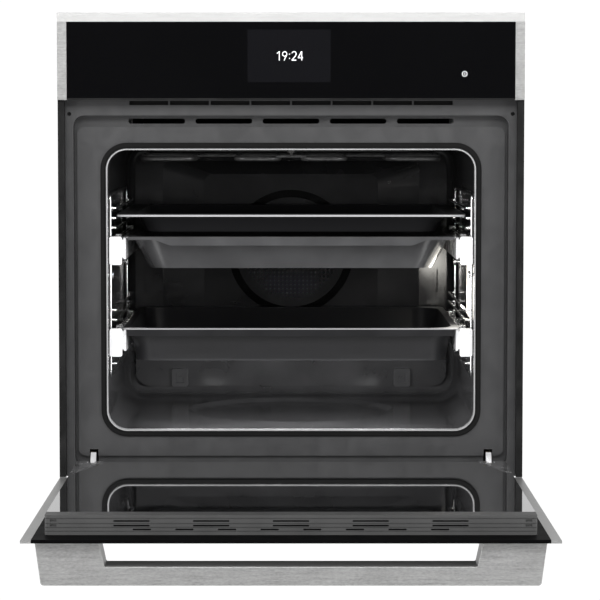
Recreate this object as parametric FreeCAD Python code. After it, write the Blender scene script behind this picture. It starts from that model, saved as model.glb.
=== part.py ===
import FreeCAD, Part
import math
import os

from FreeCAD import Vector

# A built-in wall oven for a 600 mm kitchen column, in millimetres.
# +X is right, +Y goes into the cabinet, +Z is up. Y = 0 is the front plane of the cabinet and
# Z = 0 is the niche floor under the casing. Door parts are drawn closed and then swung open.

# ---------------------------------------------------------------- driving dimensions
FRONT_HALF = 297.5          # half the 595 mm front
FRONT_Z0 = -3.0             # lower edge of the 596 mm front
FRONT_Z1 = 593.0
FRONT_Y = -22.0             # outer face of the fascia and of the closed door
BORDER = 11.8               # width of the steel border
FASCIA_Z0 = 482.2
DOOR_Z1 = 478.0             # top edge of the closed door
HINGE_Y = -15.0             # door hinge axis
HINGE_Z = 1.0
DOOR_OPEN = 90.0            # degrees between closed and open

CASE_HALF = 274.2           # housing inside the niche
CASE_Z1 = 575.0
CASE_Y1 = 548.0
SHEET = 1.2                 # casing and pressed sheet thickness

PLATE_Y = 8.0               # front face of the plate round the oven mouth
GROOVE_Y = 14.0             # floor of the channel round that plate
FLANGE_Y = -1.5             # front face of the outer flange

CAVITY_HALF = 238.0         # inside of the oven cavity
CAVITY_Z0 = 55.0
CAVITY_Z1 = 420.0
CAVITY_Y1 = 428.0
CAVITY_R = 27.0
ENAMEL = 1.5                # enamelled sheet thickness

FAN_Z = 265.5               # height of the hot air fan
COVER_Y = 413.0             # front face of the rear cover
DOME_Y = 393.0              # front face of its raised middle

BOX_HALF = 273.5            # inner box of the door
BOX_Z0 = 20.6
BOX_Z1 = 445.8
CAP_Z0 = 422.0              # lower edge of the vented cap on top of the door
BOX_Y1 = 4.2                # inner face of the closed door
GLASS = 4.0
HINGE_X = 255.0             # middle of each hinge arm

WIRE = 1.75                 # radius of the shelf support frame wire
LOOP_WIRE = 1.6             # radius of the shelf loops
SUPPORT_X = 226.0           # inner leg of each shelf loop
SUPPORT_Y0 = 30.0
SUPPORT_Y1 = 354.0
SUPPORT_LEVELS = (342.6, 329.6, 317.0, 304.0, 210.1, 197.2, 184.3, 171.4, 140.4)

UPPER_RIM_Z = 306.0         # top of the upper tray
LOWER_RIM_Z = 187.1         # top of the lower tray
BAKING_RIM_Z = 334.8
TRAY_Y0 = 14.0
TRAY_Y1 = 384.0
TRAY_SHEET = 1.2
RIM_HALF = 218.2            # half width over a tray's flat rim

HANDLE_Z0 = 424.2
HANDLE_Z1 = 462.0
HANDLE_REACH = 50.0         # how far the handle stands off the door

NODES = {}


# ---------------------------------------------------------------- helpers
def box(x0, x1, y0, y1, z0, z1):
    return Part.makeBox(x1 - x0, y1 - y0, z1 - z0, Vector(x0, y0, z0))


def cyl(axis, radius, start, end, u, v):
    """Cylinder along an axis; u and v are its place on the other two axes, in XYZ order."""
    if axis == "x":
        return Part.makeCylinder(radius, end - start, Vector(start, u, v), Vector(1, 0, 0))
    if axis == "y":
        return Part.makeCylinder(radius, end - start, Vector(u, start, v), Vector(0, 1, 0))
    return Part.makeCylinder(radius, end - start, Vector(u, v, start), Vector(0, 0, 1))


def mirrored(shape):
    return shape.mirror(Vector(0, 0, 0), Vector(1, 0, 0))


def pair(shape):
    """The same piece on the right and on the left, as two solids."""
    return Part.makeCompound([shape, mirrored(shape)])


def fuse(shapes):
    joined = shapes[0].multiFuse(shapes[1:])
    return joined.removeSplitter()


def outline(points, radii):
    """Closed wire through points, with a tangent arc of the given radius at each corner."""
    edges = []
    starts = []
    ends = []
    middles = []
    count = len(points)
    for i in range(count):
        here = points[i]
        back = (points[i - 1] - here).normalize()
        ahead = (points[(i + 1) % count] - here).normalize()
        half_angle = math.acos(max(-1.0, min(1.0, back.dot(ahead)))) / 2
        reach = radii[i] / math.tan(half_angle) if radii[i] else 0.0
        starts.append(here + back * reach)
        ends.append(here + ahead * reach)
        centre_way = (back + ahead).normalize()
        middles.append(here + centre_way * (radii[i] / math.sin(half_angle) - radii[i]))
    for i in range(count):
        if radii[i]:
            edges.append(Part.Arc(starts[i], middles[i], ends[i]).toShape())
        following = starts[(i + 1) % count]
        if (following - ends[i]).Length > 1e-6:
            edges.append(Part.LineSegment(ends[i], following).toShape())
    return Part.Wire(edges)


def mouth(half, z0, z1, radius, y=0.0):
    """Rounded rectangle about X = 0 in the XZ plane at y."""
    points = [Vector(-half, y, z0), Vector(half, y, z0), Vector(half, y, z1), Vector(-half, y, z1)]
    return outline(points, [radius] * 4)


def plan(half, y0, y1, radius, z):
    """Rounded rectangle about X = 0 in the XY plane at z."""
    points = [Vector(-half, y0, z), Vector(half, y0, z), Vector(half, y1, z), Vector(-half, y1, z)]
    return outline(points, [radius] * 4)


def slab(outer, holes, way):
    """A flat face with holes, extruded."""
    face = Part.Face(outer)
    if holes:
        face = face.cut(Part.makeCompound([Part.Face(hole) for hole in holes])).Faces[0]
    return face.extrude(way)


def ring_y(outer, inner, y0, y1):
    """Material between two mouth outlines, given as (half, z0, z1, radius)."""
    return slab(mouth(*outer, y0), [mouth(*inner, y0)], Vector(0, y1 - y0, 0))


def grown(shape4, by):
    half, z0, z1, radius = shape4
    return (half + by, z0 - by, z1 + by, max(radius + by, 0.5))


def prism(points, plane, start, end):
    """Polygon given in the two other axes, extruded along plane from start to end."""
    if plane == "x":
        vectors = [Vector(start, a, b) for a, b in points]
        way = Vector(end - start, 0, 0)
    elif plane == "y":
        vectors = [Vector(a, start, b) for a, b in points]
        way = Vector(0, end - start, 0)
    else:
        vectors = [Vector(a, b, start) for a, b in points]
        way = Vector(0, 0, end - start)
    return Part.Face(Part.makePolygon(vectors + [vectors[0]])).extrude(way)


def rod(points, radius, bend=0.0):
    """Round bar through points, with bends of one radius at the corners."""
    edges = []
    here = points[0]
    for i in range(1, len(points) - 1):
        corner = points[i]
        back = (points[i - 1] - corner).normalize()
        ahead = (points[i + 1] - corner).normalize()
        half_angle = math.acos(max(-1.0, min(1.0, back.dot(ahead)))) / 2
        reach = bend / math.tan(half_angle)
        middle = corner + (back + ahead).normalize() * (bend / math.sin(half_angle) - bend)
        edges.append(Part.LineSegment(here, corner + back * reach).toShape())
        edges.append(Part.Arc(corner + back * reach, middle, corner + ahead * reach).toShape())
        here = corner + ahead * reach
    edges.append(Part.LineSegment(here, points[-1]).toShape())
    profile = Part.Wire(Part.makeCircle(radius, points[0], points[1] - points[0]))
    return Part.Wire(edges).makePipeShell([profile], True, False)


def row(count, pitch):
    """Centres of count things spaced evenly about zero."""
    return [(i - (count - 1) / 2) * pitch for i in range(count)]


def opened(shape):
    """Swing a door piece from closed to its open rest pose."""
    turned = shape.copy()
    turned.rotate(Vector(0, HINGE_Y, HINGE_Z), Vector(1, 0, 0), DOOR_OPEN)
    return turned


# ---------------------------------------------------------------- casing
def make_casing():
    inner = CASE_HALF - SHEET
    y0 = GROOVE_Y + SHEET
    base = box(-inner, inner, 0, CASE_Y1, 0, SHEET)
    side = box(inner, CASE_HALF, y0, CASE_Y1, 0, CASE_Z1).fuse(box(inner, CASE_HALF, 0, y0, 465, CASE_Z1))
    slots = [box(inner - 1, CASE_HALF + 1, y, y + 46, z, z + 5)
             for y in (330, 390, 450) for z in (500, 512, 524, 536)]
    side = side.cut(Part.makeCompound(slots)).removeSplitter()
    top = box(-inner, inner, 0, CASE_Y1, CASE_Z1 - SHEET, CASE_Z1)
    top_slots = [box(x - 18, x + 18, y, y + 5, CASE_Z1 - 3, CASE_Z1 + 1)
                 for x in row(5, 60) for y in (270, 286, 302, 318, 334, 350)]
    top = top.cut(Part.makeCompound(top_slots))
    back = box(-inner, inner, CASE_Y1 - SHEET, CASE_Y1, SHEET, CASE_Z1 - SHEET)
    louvres = [box(x - 22, x + 22, CASE_Y1 - 3, CASE_Y1 + 1, z, z + 5)
               for x in row(4, 62) for z in (110, 124, 138, 152, 380, 394, 408, 422)]
    back = back.cut(Part.makeCompound(louvres)).cut(cyl("y", 9.2, CASE_Y1 - 4, CASE_Y1 + 1, -200, 505))
    NODES["casing_base"] = base
    NODES["casing_right"] = side
    NODES["casing_left"] = mirrored(side)
    NODES["casing_top"] = top
    NODES["casing_back"] = back


FRAME_GROOVE = (278.8, 9.0, 462.4, 13.8)
FRAME_PLATE = (274.8, 22.5, 447.6, 9.0)
FRAME_MOUTH = (238.2, 54.8, 420.2, 27.2)


def make_front_frame():
    sheet = box(-289.2, 289.2, FLANGE_Y, 0, FRONT_Z0, FASCIA_Z0)
    sheet = sheet.cut(Part.Face(mouth(*FRAME_GROOVE, FLANGE_Y)).extrude(Vector(0, -FLANGE_Y, 0)))
    parts = [sheet,
             ring_y(grown(FRAME_GROOVE, 1.0), FRAME_GROOVE, FLANGE_Y, GROOVE_Y + SHEET),
             ring_y(grown(FRAME_GROOVE, 1.0), grown(FRAME_PLATE, -SHEET), GROOVE_Y, GROOVE_Y + SHEET),
             ring_y(FRAME_PLATE, grown(FRAME_PLATE, -SHEET), PLATE_Y, GROOVE_Y + SHEET),
             ring_y(FRAME_PLATE, FRAME_MOUTH, PLATE_Y, PLATE_Y + SHEET)]
    frame = fuse(parts)
    cuts = [box(x - 25, x + 25, -4, 2, 475.7, 481.2) for x in row(8, 52.05)]
    for x in row(5, 86.4):
        cuts.append(box(x - 33.2, x + 33.2, GROOVE_Y - 1, GROOVE_Y + 3, 451.8, 458.4))
        cuts.append(cyl("y", 3.3, GROOVE_Y - 1, GROOVE_Y + 3, x - 33.2, 455.1))
        cuts.append(cyl("y", 3.3, GROOVE_Y - 1, GROOVE_Y + 3, x + 33.2, 455.1))
    for side in (-1, 1):
        cuts.append(cyl("y", 2.6, -4, 2, side * 284.1, 464.4))
        cuts.append(box(side * HINGE_X - 5.5, side * HINGE_X + 5.5, -4, GROOVE_Y + 3, 2.5, 31))
    NODES["front_frame"] = frame.cut(Part.makeCompound(cuts))
    trim = box(289.2, FRONT_HALF, -17, 0, -2, FASCIA_Z0)
    NODES["side_trims"] = pair(trim)


def make_fascia():
    steel = 1.5
    inner = FRONT_HALF - BORDER
    top = FRONT_Z1 - 11.5
    face = prism([(-FRONT_HALF, FASCIA_Z0), (-inner, FASCIA_Z0), (-inner, top), (inner, top),
                  (inner, FASCIA_Z0), (FRONT_HALF, FASCIA_Z0), (FRONT_HALF, FRONT_Z1),
                  (-FRONT_HALF, FRONT_Z1)], "y", FRONT_Y, FRONT_Y + steel)
    skirts = [box(FRONT_HALF - steel, FRONT_HALF, FRONT_Y, 0, FASCIA_Z0, FRONT_Z1),
              box(-FRONT_HALF, steel - FRONT_HALF, FRONT_Y, 0, FASCIA_Z0, FRONT_Z1),
              box(-FRONT_HALF, FRONT_HALF, FRONT_Y, 0, FRONT_Z1 - steel, FRONT_Z1)]
    NODES["panel_bezel"] = fuse([face] + skirts)
    glass_y = FRONT_Y + 0.2
    pane = box(-inner + 0.2, inner - 0.2, glass_y, glass_y + GLASS, FASCIA_Z0 + 2.2, top - 0.2)
    pocket = box(-55.3, 50.3, glass_y - 1, glass_y + 0.4, 504.8, 571.2)
    NODES["panel_glass"] = pane.cut(pocket)
    NODES["display_window"] = box(-55.3, 50.3, glass_y, glass_y + 0.4, 504.8, 571.2)
    back = glass_y + GLASS
    tray = box(-inner + 0.2, inner - 0.2, back, 0, FASCIA_Z0, top - 0.2)
    tray = tray.cut(box(-270, 270, back + 3, 1, FASCIA_Z0 + 8, top - 6))
    lip = box(-inner + 0.2, inner - 0.2, glass_y, back, FASCIA_Z0, FASCIA_Z0 + 2.2)
    NODES["panel_carrier"] = fuse([tray, lip])
    NODES["power_sensor"] = cyl("y", 8, back + 3, back + 6, 220.8, 515.2)
    module = [box(-66, 61, back + 3, back + 12, 500, 574),
              box(-260, 200, back + 12, back + 13.6, 498, 573),
              box(-240, -190, back + 4, back + 12, 510, 560),
              box(95, 150, back + 5, back + 12, 520, 562)]
    NODES["control_module"] = fuse(module)


# ---------------------------------------------------------------- cavity
def rounded_tub(half, z0, z1, y0, y1, corner, rear):
    """Box open to the front, with rounded long edges and a rounded back edge."""
    tub = box(-half, half, y0, y1, z0, z1)
    long_edges = [e for e in tub.Edges if abs(e.BoundBox.YLength - (y1 - y0)) < 0.01]
    tub = tub.makeFillet(corner, long_edges)
    rear_edges = [e for e in tub.Edges if e.BoundBox.YMin > y1 - 0.01]
    return tub.makeFillet(rear, rear_edges)


DISH_R = 143.0
DISH_Y = 247.5
DISH_DEEP = 5.0
LAMP = (64.0, 126.0, 198.0, 264.0)     # Y and Z limits of the lamp opening


def make_cavity():
    y0 = PLATE_Y + SHEET
    outer = rounded_tub(CAVITY_HALF + ENAMEL, CAVITY_Z0 - ENAMEL, CAVITY_Z1 + ENAMEL, y0,
                        CAVITY_Y1 + ENAMEL, CAVITY_R + ENAMEL, 12 + ENAMEL)
    inner = rounded_tub(CAVITY_HALF, CAVITY_Z0, CAVITY_Z1, y0 - 1, CAVITY_Y1, CAVITY_R, 12)
    dish_low = CAVITY_Z0 - DISH_DEEP
    dish_out = Part.makeCone(DISH_R - 8, DISH_R + ENAMEL, DISH_DEEP + ENAMEL,
                             Vector(0, DISH_Y, dish_low - ENAMEL), Vector(0, 0, 1))
    dish_in = Part.makeCone(DISH_R - 8, DISH_R + 1.6, DISH_DEEP + 1, Vector(0, DISH_Y, dish_low),
                            Vector(0, 0, 1))
    shell = outer.fuse(dish_out).cut(inner).cut(dish_in)
    ly0, ly1, lz0, lz1 = LAMP
    holes = [box(CAVITY_HALF - 2, CAVITY_HALF + 3, ly0, ly1, lz0, lz1),
             cyl("y", 6, CAVITY_Y1 - 2, CAVITY_Y1 + 3, 0, FAN_Z)]
    for side in (-1, 1):
        holes.append(cyl("y", 3.6, CAVITY_Y1 - 2, CAVITY_Y1 + 3, side * 14, FAN_Z + 105))
    NODES["cavity_muffle"] = shell.cut(Part.makeCompound(holes))
    NODES["cavity_trim_ring"] = ring_y((237.8, 55.2, 419.8, 26.8), (236.1, 56.9, 418.1, 25.1), 4.9, 15)
    foot = ring_y((245.0, 47.8, 427.4, 34.0), (238.6, 54.2, 420.8, 27.6), 6.0, PLATE_Y)
    bead = ring_y((243.8, 49.0, 426.2, 32.8), (239.8, 53.0, 422.0, 28.8), 4.6, 6.0)
    NODES["door_seal"] = foot.fuse(bead)


def make_insulation():
    outer = box(-268, 268, 16, 462, 30, 446)
    hollow = box(-240.5, 240.5, 15, CAVITY_Y1 + ENAMEL + 0.5, 37.5, CAVITY_Z1 + ENAMEL + 0.5)
    blanket = outer.cut(hollow)
    blanket = blanket.cut(cyl("y", 62, 420, 470, 0, FAN_Z))
    ly0, ly1, lz0, lz1 = LAMP
    blanket = blanket.cut(box(230, 270, ly0 - 4, ly1 + 4, lz0 - 4, lz1 + 4))
    blanket = blanket.cut(box(-24, 24, 428, 470, FAN_Z + 50, FAN_Z + 114))
    NODES["insulation_blanket"] = blanket


def make_bottom_heater():
    z = 42.6
    xs = row(6, 62)
    NODES["bottom_heater"] = rod([Vector(xs[0], 426, z)] + serpentine(xs, 60, 400, z), 3.2, 18)


def serpentine(xs, near, far, z):
    """Corner points of a heater that runs forward and back across the given X places."""
    points = []
    forward = True
    for x in xs:
        first, second = (far, near) if forward else (near, far)
        if points:
            points.append(Vector(x, first, z))
        points.append(Vector(x, second, z))
        forward = not forward
    points[-1] = Vector(xs[-1], 426, z)
    return points


# ---------------------------------------------------------------- rear cover and fan
def make_fan_cover():
    plate = (225.5, 69.0, 404.0, 20.0)
    base = (187.0, 133.0, 397.0, 14.0)
    top = (125.0, 153.0, 378.0, 14.0)
    flat = slab(mouth(*plate, COVER_Y), [mouth(*base, COVER_Y)], Vector(0, SHEET, 0))
    skirt = ring_y(plate, grown(plate, -SHEET), COVER_Y, CAVITY_Y1)
    outer = Part.makeLoft([mouth(*base, COVER_Y), mouth(*top, DOME_Y)], True, True)
    hollow = Part.makeLoft([mouth(*grown(base, -SHEET), COVER_Y), mouth(*grown(top, -SHEET), DOME_Y + SHEET)],
                           True, True)
    dome = outer.cut(hollow)
    rim = ring_y(base, grown(base, -SHEET), COVER_Y - 0.4, COVER_Y + SHEET)
    well = cyl("y", 91, DOME_Y + 0.2, DOME_Y + 6, 0, FAN_Z)
    cover = fuse([flat, skirt, dome, rim, well])
    cover = cover.cut(cyl("y", 89.8, DOME_Y - 1, DOME_Y + 7, 0, FAN_Z))
    air = [box(side * 207 - 6, side * 207 + 6, COVER_Y - 1, COVER_Y + 3, z, z + 34)
           for side in (-1, 1) for z in (150, 206, 262, 318)]
    NODES["fan_cover"] = cover.cut(Part.makeCompound(air))


def make_fan_grille():
    disc = Part.makeCircle(79, Vector(0, DOME_Y, FAN_Z), Vector(0, 1, 0))
    pitch = 5.9
    reach = 66.5
    holes = []
    steps = int(reach / pitch) + 1
    for i in range(-steps, steps + 1):
        for j in range(-steps, steps + 1):
            x = i * pitch
            z = j * pitch
            if math.hypot(x, z) <= reach:
                circle = Part.makeCircle(1.75, Vector(x, DOME_Y, FAN_Z + z), Vector(0, 1, 0))
                holes.append(Part.Wire(circle))
    front = slab(Part.Wire(disc), holes, Vector(0, SHEET, 0))
    wall = cyl("y", 79, DOME_Y, DOME_Y + 7.2, 0, FAN_Z).cut(cyl("y", 77.8, DOME_Y - 1, DOME_Y + 9, 0, FAN_Z))
    flange = cyl("y", 96, DOME_Y + 6, DOME_Y + 7.2, 0, FAN_Z)
    flange = flange.cut(cyl("y", 77.8, DOME_Y, DOME_Y + 9, 0, FAN_Z))
    NODES["fan_grille"] = fuse([front, wall, flange])


def make_cover_clips():
    clips = []
    for side in (-1, 1):
        x = side * 161.3
        clip = box(x - 11.7, x + 11.7, COVER_Y - 7, COVER_Y, 69, 95)
        edges = [e for e in clip.Edges if abs(e.BoundBox.YLength - 7) < 0.01]
        clip = clip.makeFillet(3, edges)
        clip = clip.cut(box(x - 5.8, x + 5.8, COVER_Y - 8, COVER_Y - 3, 75, 89))
        screw = cyl("y", 3.6, COVER_Y - 5.4, COVER_Y - 3, x, 80)
        clips.append(clip.fuse(screw))
    NODES["fan_cover_clips"] = Part.makeCompound(clips)


def wheel_blades(count, inner, outer, thick, y0, y1, lean):
    blades = []
    for i in range(count):
        blade = box(-thick / 2, thick / 2, y0, y1, inner, outer)
        blade.rotate(Vector(0, 0, inner), Vector(0, 1, 0), lean)
        blade.rotate(Vector(0, 0, 0), Vector(0, 1, 0), 360.0 * i / count)
        blades.append(blade)
    return blades


def make_convection_fan():
    blades = wheel_blades(12, 24, 66, 1.4, 403, 422.5, 24)
    disc = cyl("y", 70, 421.5, 423, 0, 0)
    hub = cyl("y", 9, 402, 426, 0, 0)
    shaft = cyl("y", 4, 402, 486, 0, 0)
    wheel = fuse([disc, hub, shaft] + blades)
    NODES["convection_fan"] = wheel.translated(Vector(0, 0, FAN_Z))
    body = cyl("y", 34, 470, 520, 0, 0)
    stack = box(-40, 40, 478, 508, -40, 40)
    plate = cyl("y", 44, 466, 470, 0, 0)
    legs = [cyl("y", 3, CAVITY_Y1 + ENAMEL, 467, 38 * math.sin(a), 38 * math.cos(a))
            for a in (math.pi / 3, math.pi, 5 * math.pi / 3)]
    motor = fuse([body, stack, plate] + legs).cut(cyl("y", 4.05, 460, 487, 0, 0))
    NODES["convection_motor"] = motor.translated(Vector(0, 0, FAN_Z))
    torus = Part.makeTorus(106, 3.3, Vector(0, 421, FAN_Z), Vector(0, 1, 0))
    tails = [cyl("y", 3.3, 419, 462, side * 14, FAN_Z + 105) for side in (-1, 1)]
    gap = box(-9, 9, 415, 427, FAN_Z + 98, FAN_Z + 114)
    NODES["ring_heater"] = fuse([torus.cut(gap)] + tails)


# ---------------------------------------------------------------- grill, lamp
GRILL_Z = 405.5
GRILL_PIVOT = (385.0, 407.5)


def make_grill():
    y0 = 95.0
    loops = []
    for side in (-1, 1):
        points = [Vector(side * 196, 385, GRILL_Z), Vector(side * 196, y0, GRILL_Z),
                  Vector(side * 128, y0, GRILL_Z), Vector(side * 128, 330, GRILL_Z),
                  Vector(side * 72, 330, GRILL_Z), Vector(side * 72, y0, GRILL_Z),
                  Vector(side * 16, y0, GRILL_Z), Vector(side * 16, 385, GRILL_Z)]
        loops.append(rod(points, 3.3, 16))
    hinge_rod = cyl("x", 2.6, -209, 209, *GRILL_PIVOT)
    ties = [box(-200, 200, y, y + 12, GRILL_Z + 1.5, GRILL_Z + 4.1) for y in (150, 270)]
    tab = box(-20, 20, y0 - 3, y0 + 9, GRILL_Z + 1.5, GRILL_Z + 4.1)
    NODES["grill_element"] = fuse(loops + [hinge_rod, tab] + ties)
    hangers = []
    for side in (-1, 1):
        x = side * 205
        leg = box(x - 2, x + 2, 377, 393, 402, CAVITY_Z1)
        foot = box(x - 6, x + 6, 377, 393, CAVITY_Z1 - 1.6, CAVITY_Z1)
        hangers.append(fuse([leg, foot]).cut(cyl("x", 2.65, x - 4, x + 4, *GRILL_PIVOT)))
    stud = cyl("z", 2.2, GRILL_Z + 4.3, CAVITY_Z1, 0, y0 + 3)
    nut = cyl("z", 5.2, GRILL_Z + 8, CAVITY_Z1 - 2.5, 0, y0 + 3)
    hangers.append(stud.fuse(nut))
    NODES["grill_hangers"] = Part.makeCompound(hangers)


def make_lamp():
    ly0, ly1, lz0, lz1 = LAMP
    x0 = CAVITY_HALF
    can = box(x0 + ENAMEL, x0 + 24, ly0 - 3, ly1 + 3, lz0 - 3, lz1 + 3)
    can = can.cut(box(x0, x0 + 22.5, ly0 - 1.5, ly1 + 1.5, lz0 - 1.5, lz1 + 1.5))
    NODES["lamp_housing"] = can
    rim = box(x0 - 1.2, x0, ly0 - 3, ly1 + 3, lz0 - 3, lz1 + 3)
    dome = box(x0 - 3, x0 + 1.2, ly0 + 0.3, ly1 - 0.3, lz0 + 0.3, lz1 - 0.3)
    NODES["lamp_lens"] = fuse([rim, dome])
    middle_y = (ly0 + ly1) / 2
    bulb = cyl("z", 5.5, 222, 252, x0 + 13, middle_y)
    cap = cyl("z", 7.5, lz0 - 1.5, 222, x0 + 13, middle_y)
    NODES["lamp_bulb"] = fuse([bulb, Part.makeSphere(5.5, Vector(x0 + 13, middle_y, 252)), cap])


# ---------------------------------------------------------------- shelf supports and runners
UPRIGHT_X = 234.5
SUPPORT_FRAME_Z = (124.0, 360.4)


def make_supports():
    low, high = SUPPORT_FRAME_Z
    middle = (SUPPORT_Y0 + SUPPORT_Y1) / 2
    frame = [Vector(UPRIGHT_X, y, z) for y, z in ((middle, low), (SUPPORT_Y1, low), (SUPPORT_Y1, high),
                                                  (SUPPORT_Y0, high), (SUPPORT_Y0, low), (middle, low))]
    parts = [rod(frame, WIRE, 8)]
    for z in SUPPORT_LEVELS:
        points = [Vector(UPRIGHT_X, SUPPORT_Y0, z), Vector(SUPPORT_X, SUPPORT_Y0, z),
                  Vector(SUPPORT_X, SUPPORT_Y1, z), Vector(UPRIGHT_X, SUPPORT_Y1, z)]
        parts.append(rod(points, LOOP_WIRE, 5))
    support = fuse(parts)
    NODES["shelf_support_right"] = support
    NODES["shelf_support_left"] = mirrored(support)
    studs = []
    for y in (44, 340):
        stud = cyl("x", 2.5, 233.6, CAVITY_HALF, y, 254.9)
        head = cyl("x", 5.2, 231.0, 233.8, y, 254.9)
        studs.append(stud.fuse(head))
    studs += [mirrored(stud) for stud in studs]
    NODES["support_studs"] = Part.makeCompound(studs)


def make_runner(name, rim_z, wire_z):
    """Telescopic runner pair: fixed rail, middle slide and carriage, under a tray rim."""
    seat = rim_z - TRAY_SHEET
    z0 = seat - 29
    z1 = seat - 2.5
    y0 = 24.0
    y1 = 348.0
    rail = box(216.8, 223.8, y0, y1, z0, z1)
    rail = rail.cut(box(216, 222.6, y0 - 1, y1 + 1, z0 + 1.2, z1 - 1.2))
    rail = rail.cut(box(216, 218.6, y0 - 1, y1 + 1, z0 - 1, z0 + 1.2))
    rail = rail.cut(box(216, 218.6, y0 - 1, y1 + 1, z1 - 1.2, z1 + 1))
    hooks = []
    over = wire_z + WIRE + 0.05
    for y in (60, 300):
        hooks.append(box(222.6, 223.8, y, y + 22, z1 - 6, over + 1.2))
        hooks.append(box(222.6, 229.4, y, y + 22, over, over + 1.2))
        hooks.append(box(228.2, 229.4, y, y + 22, over - 5, over + 1.2))
    rail = fuse([rail] + hooks)
    NODES[name + "_rail_right"] = rail
    NODES[name + "_rail_left"] = mirrored(rail)
    slide = box(218.8, 222.3, y0 + 2, y1 - 2, z0 + 1.5, z1 - 1.5)
    slide = slide.cut(box(218, 221.3, y0, y1, z0 + 2.6, z1 - 2.6))
    NODES[name + "_slides"] = pair(slide)
    carriage = [box(213.6, 216.5, 18, y1 - 4, z0 + 1, seat),
                box(216.5, 221.0, 26, y1 - 4, z0 + 4, z1 - 4),
                box(213.6, 234.6, 18, 22, z0 + 3, z1)]
    block = box(218.4, 234.6, 12, 18, rim_z - 36.2, rim_z + 0.2)
    corners = [e for e in block.Edges if abs(e.BoundBox.YLength - 6) < 0.01]
    block = block.makeFillet(2.6, corners)
    carriage = fuse(carriage + [block])
    NODES[name + "_carriage_right"] = carriage
    NODES[name + "_carriage_left"] = mirrored(carriage)


# ---------------------------------------------------------------- trays
TRAY_RIM = (RIM_HALF, TRAY_Y0, TRAY_Y1, 10.0)


def tray_shell(rim_z, rim, top, low, low_z):
    """Pressed tray: a sloping tub below a flat rim; rim, top and low are (half, y0, y1, radius)."""
    half, y0, y1, radius = top
    half2, y2, y3, radius2 = low
    t = TRAY_SHEET
    under = rim_z - t
    outer = Part.makeLoft([plan(half, y0, y1, radius, under), plan(half2, y2, y3, radius2, low_z)],
                          True, True)
    hollow = Part.makeLoft([plan(half - t, y0 + t, y1 - t, radius - t, rim_z),
                            plan(half2 - t, y2 + t, y3 - t, radius2 - t, low_z + t)], True, True)
    flange = slab(plan(*rim, under), [], Vector(0, 0, t))
    return outer.fuse(flange).cut(hollow)


def make_baking_tray():
    """Shallow tray on the top support loops, with its rim folded down all the way round."""
    rim = (226.5, 26.0, 384.0, 8.0)
    tub = tray_shell(BAKING_RIM_Z, rim, (203.0, 40.0, 370.0, 34.0), (189.5, 53.0, 357.0, 26.0), 311.0)
    fold = slab(plan(*rim, BAKING_RIM_Z - 3.3), [], Vector(0, 0, 3.3))
    inside = slab(plan(225.3, 27.2, 382.8, 6.8, BAKING_RIM_Z - 4), [], Vector(0, 0, 5))
    NODES["baking_tray"] = tub.fuse(fold.cut(inside))


def make_trays():
    rim = UPPER_RIM_Z
    tub = tray_shell(rim, TRAY_RIM, (207.4, 24.0, 374.0, 40.0), (186.0, 45.0, 353.0, 30.0), 263.8)
    under = rim - TRAY_SHEET
    lip = prism([(-211, under), (-211, 302.0), (-176, 302.0), (-156, 294.7), (156, 294.7), (176, 302.0),
                 (211, 302.0), (211, under)], "y", TRAY_Y0, TRAY_Y0 + TRAY_SHEET)
    NODES["universal_tray"] = fuse([tub, lip])
    rim = LOWER_RIM_Z
    tub = tray_shell(rim, TRAY_RIM, (211.0, 22.0, 376.0, 38.0), (203.0, 32.0, 366.0, 30.0), 144.0)
    lip = box(-211, 211, TRAY_Y0, TRAY_Y0 + TRAY_SHEET, 177.4, rim - TRAY_SHEET)
    NODES["deep_tray"] = fuse([tub, lip])


# ---------------------------------------------------------------- cooling and mains
COOL_Y = 330.0


def make_cooling():
    shell = cyl("z", 86, 470, 520, 0, COOL_Y).cut(cyl("z", 84, 472, 518, 0, COOL_Y))
    duct = box(-206, 206, 17, 260, 448, 474).cut(box(-204, 204, 16, 258, 450, 472))
    neck = box(-60, 60, 240, 270, 470, 500).cut(box(-58, 58, 230, 300, 466, 498))
    neck = neck.cut(cyl("z", 84, 466, 501, 0, COOL_Y))
    housing = fuse([shell, duct, neck])
    housing = housing.cut(box(-57, 57, 241, 257, 465, 497)).cut(box(-57, 57, 241, 270, 473, 497))
    inlet = cyl("z", 45, 468, 473, 0, COOL_Y)
    top_hole = cyl("z", 24, 515, 522, 0, COOL_Y)
    feet = [box(x - 8, x + 8, 400, 412, 446, 472) for x in (-40, 40)]
    NODES["cooling_housing"] = fuse([housing.cut(inlet).cut(top_hole)] + feet)
    blades = []
    for i in range(24):
        blade = box(-0.8, 0.8, 52, 70, 477, 511)
        blade.rotate(Vector(0, 52, 0), Vector(0, 0, 1), 30)
        blade.rotate(Vector(0, 0, 0), Vector(0, 0, 1), 15.0 * i)
        blades.append(blade)
    disc = cyl("z", 72, 510, 512, 0, 0)
    ring = cyl("z", 72, 476, 478, 0, 0).cut(cyl("z", 50, 475, 479, 0, 0))
    shaft = cyl("z", 4, 500, 540, 0, 0)
    hub = cyl("z", 12, 503, 512, 0, 0)
    wheel = fuse([disc, ring, shaft, hub] + blades)
    NODES["cooling_wheel"] = wheel.translated(Vector(0, COOL_Y, 0))
    motor = fuse([cyl("z", 30, 524, 556, 0, COOL_Y), cyl("z", 40, 520, 524, 0, COOL_Y)])
    NODES["cooling_motor"] = motor.cut(cyl("z", 4.05, 518, 541, 0, COOL_Y))


def make_mains():
    gland = cyl("y", 9, 522, 555, -200, 505)
    terminal = box(-235, -165, 522, CASE_Y1 - SHEET, 470, 540)
    collar = cyl("y", 13, CASE_Y1, 553, -200, 505)
    NODES["mains_inlet"] = fuse([terminal, gland, collar]).cut(cyl("y", 4.5, 530, 556, -200, 505))


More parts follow.
